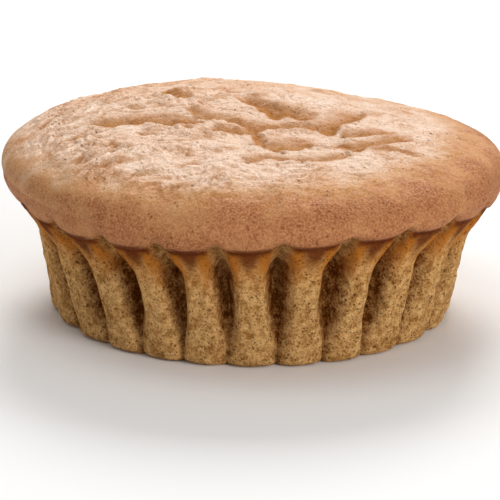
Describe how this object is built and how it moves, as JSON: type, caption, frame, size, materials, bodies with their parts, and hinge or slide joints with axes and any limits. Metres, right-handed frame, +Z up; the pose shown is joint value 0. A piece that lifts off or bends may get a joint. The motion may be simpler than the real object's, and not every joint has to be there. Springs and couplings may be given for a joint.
{
  "type": "sponge cake",
  "caption": "Round sponge cake baked in a fluted tin, with a pleated side and a wide browned crust that overhangs it and wrinkles in the middle.",
  "frame": {"origin": "on the table, under the middle of the cake's bounding box", "axes": "+Z up through the cake, -Y towards the side that the picture shows, +X to that side's right"},
  "size_m": [0.1002, 0.0998, 0.0393],
  "materials": {
    "sponge": "matte golden sponge with a satin browned crust"
  },
  "bodies": {
    "root": {"sponge_cake": "sponge"}
  },
  "joints": []
}
